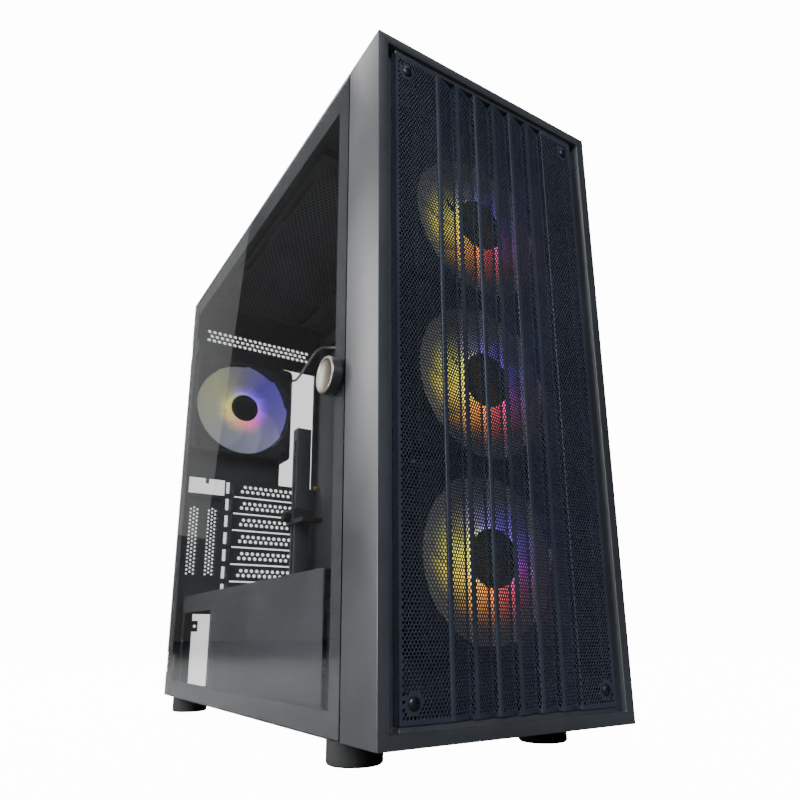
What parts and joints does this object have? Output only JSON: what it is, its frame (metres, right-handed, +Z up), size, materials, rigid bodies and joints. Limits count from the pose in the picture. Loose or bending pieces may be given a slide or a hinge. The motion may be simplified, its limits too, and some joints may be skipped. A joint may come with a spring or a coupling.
{
  "type": "desktop computer case",
  "caption": "Tall mid-tower computer case on round feet, with a deep pleated mesh front over lit fans, a hinged tinted glass side door with a pull knob, and an empty interior.",
  "frame": {"origin": "centre of the bounding box in plan, on the surface that the feet stand on", "axes": "+Z up, the mesh front faces -Y, the glass door is on -X, the steel side panel on +X and the rear panel faces +Y"},
  "size_m": [0.208, 0.4666, 0.48],
  "materials": {
    "bezel_paint": "satin dark grey",
    "mesh_paint": "fine-perforated black",
    "steel_paint": "fine matte black",
    "panel_paint": "fine matte dark grey",
    "fan_frame_plastic": "matte black",
    "rotor_plastic": "frosted translucent, lit from the hub",
    "black_plastic": "matte black",
    "screw_black": "black zinc",
    "door_glass": "tinted, with an opaque printed border",
    "knob_metal": "turned champagne anodised",
    "pin_steel": "bare",
    "foot_rubber": "matte",
    "cable_sleeve": "pale grey jacket"
  },
  "bodies": {
    "chassis": {"front_bulkhead": "steel_paint", "rear_panel": "steel_paint", "top_panel": "panel_paint", "floor_panel": "steel_paint", "foot_front_left": "foot_rubber", "foot_front_right": "foot_rubber", "foot_rear_left": "foot_rubber", "foot_rear_right": "foot_rubber", "motherboard_tray": "steel_paint", "psu_shroud": "panel_paint", "drive_cage": "steel_paint", "support_post": "panel_paint", "front_fan_frame_1": "fan_frame_plastic", "front_fan_frame_2": "fan_frame_plastic", "front_fan_frame_3": "fan_frame_plastic", "rear_fan_frame": "fan_frame_plastic", "slot_cover_1": "steel_paint", "slot_cover_2": "steel_paint", "slot_cover_3": "steel_paint", "slot_cover_4": "steel_paint", "slot_cover_5": "steel_paint", "slot_cover_6": "steel_paint", "slot_cover_7": "steel_paint", "vertical_slot_cover_1": "steel_paint", "vertical_slot_cover_2": "steel_paint", "port_housing": "black_plastic", "fan_controller": "black_plastic", "ssd_bracket": "steel_paint", "rear_fan_lead": "cable_sleeve", "hinge_bracket_lower": "steel_paint", "hinge_bracket_upper": "steel_paint", "hinge_pin_lower": "pin_steel", "hinge_pin_upper": "pin_steel"},
    "bezel": {"front_bezel": "bezel_paint", "front_mesh": "mesh_paint", "mesh_screw_1": "screw_black", "mesh_screw_2": "screw_black", "mesh_screw_3": "screw_black", "mesh_screw_4": "screw_black"},
    "front_rotor_1": {"front_fan_rotor_1": "rotor_plastic"},
    "front_rotor_2": {"front_fan_rotor_2": "rotor_plastic"},
    "front_rotor_3": {"front_fan_rotor_3": "rotor_plastic"},
    "rear_rotor": {"rear_fan_rotor": "rotor_plastic"},
    "door": {"glass_door": "door_glass", "door_knob": "knob_metal", "door_knob_nut": "pin_steel", "hinge_leaf_lower": "steel_paint", "hinge_leaf_upper": "steel_paint"},
    "right_panel": {"right_side_panel": "panel_paint"},
    "upper_thumbscrew": {"thumbscrew_upper": "black_plastic"},
    "lower_thumbscrew": {"thumbscrew_lower": "black_plastic"},
    "top_filter": {"top_dust_filter": "mesh_paint"},
    "psu_filter": {"psu_dust_filter": "mesh_paint"},
    "power_key": {"power_button": "black_plastic"},
    "reset_key": {"reset_button": "black_plastic"},
    "drive_tray_lower": {"drive_tray_1": "black_plastic"},
    "drive_tray_upper": {"drive_tray_2": "black_plastic"},
    "gpu_arm": {"support_arm": "black_plastic"},
    "gpu_arm_knob": {"support_knob": "black_plastic"}
  },
  "joints": [
    {"name": "front_fan_spin_1", "type": "hinge", "parent": "chassis", "child": "front_rotor_1", "pos_m": [0.004, -0.21555, 0.123], "axis": [0, 1, 0], "continuous": true},
    {"name": "front_fan_spin_2", "type": "hinge", "parent": "chassis", "child": "front_rotor_2", "pos_m": [0.004, -0.21555, 0.248], "axis": [0, 1, 0], "continuous": true},
    {"name": "front_fan_spin_3", "type": "hinge", "parent": "chassis", "child": "front_rotor_3", "pos_m": [0.004, -0.21555, 0.373], "axis": [0, 1, 0], "continuous": true},
    {"name": "rear_fan_spin", "type": "hinge", "parent": "chassis", "child": "rear_rotor", "pos_m": [-0.0304, 0.19875, 0.3475], "axis": [0, 1, 0], "continuous": true},
    {"name": "door_swing", "type": "hinge", "parent": "chassis", "child": "door", "pos_m": [-0.0936, 0.22395, 0.016], "axis": [0, 0, -1], "range_deg": [0, 110]},
    {"name": "right_panel_slide", "type": "slide", "parent": "chassis", "child": "right_panel", "axis": [0, 1, 0], "range_m": [0, 0.02]},
    {"name": "upper_thumbscrew_turn", "type": "hinge", "parent": "right_panel", "child": "upper_thumbscrew", "pos_m": [0.096, 0.22675, 0.42], "axis": [0, 1, 0], "range_deg": [0, 1440]},
    {"name": "lower_thumbscrew_turn", "type": "hinge", "parent": "right_panel", "child": "lower_thumbscrew", "pos_m": [0.096, 0.22675, 0.076], "axis": [0, 1, 0], "range_deg": [0, 1440]},
    {"name": "bezel_pull", "type": "slide", "parent": "chassis", "child": "bezel", "axis": [0, -1, 0], "range_m": [0, 0.05]},
    {"name": "top_filter_lift", "type": "slide", "parent": "chassis", "child": "top_filter", "axis": [0, 0, 1], "range_m": [0, 0.04]},
    {"name": "psu_filter_slide", "type": "slide", "parent": "chassis", "child": "psu_filter", "axis": [0, 1, 0], "range_m": [0, 0.15]},
    {"name": "power_button_press", "type": "slide", "parent": "chassis", "child": "power_key", "axis": [0, 0, -1], "range_m": [0, 0.0015], "stiffness_N_per_m": 400, "springref_m": -0.001},
    {"name": "reset_button_press", "type": "slide", "parent": "chassis", "child": "reset_key", "axis": [0, 0, -1], "range_m": [0, 0.0015], "stiffness_N_per_m": 400, "springref_m": -0.001},
    {"name": "drive_tray_slide_lower", "type": "slide", "parent": "chassis", "child": "drive_tray_lower", "axis": [1, 0, 0], "range_m": [0, 0.02]},
    {"name": "drive_tray_slide_upper", "type": "slide", "parent": "chassis", "child": "drive_tray_upper", "axis": [1, 0, 0], "range_m": [0, 0.02]},
    {"name": "gpu_arm_slide", "type": "slide", "parent": "chassis", "child": "gpu_arm", "axis": [0, 0, 1], "range_m": [-0.055, 0.08]},
    {"name": "gpu_arm_knob_turn", "type": "hinge", "parent": "gpu_arm", "child": "gpu_arm_knob", "pos_m": [-0.0212, 0.06875, 0.192], "axis": [1, 0, 0], "range_deg": [0, 720]}
  ]
}
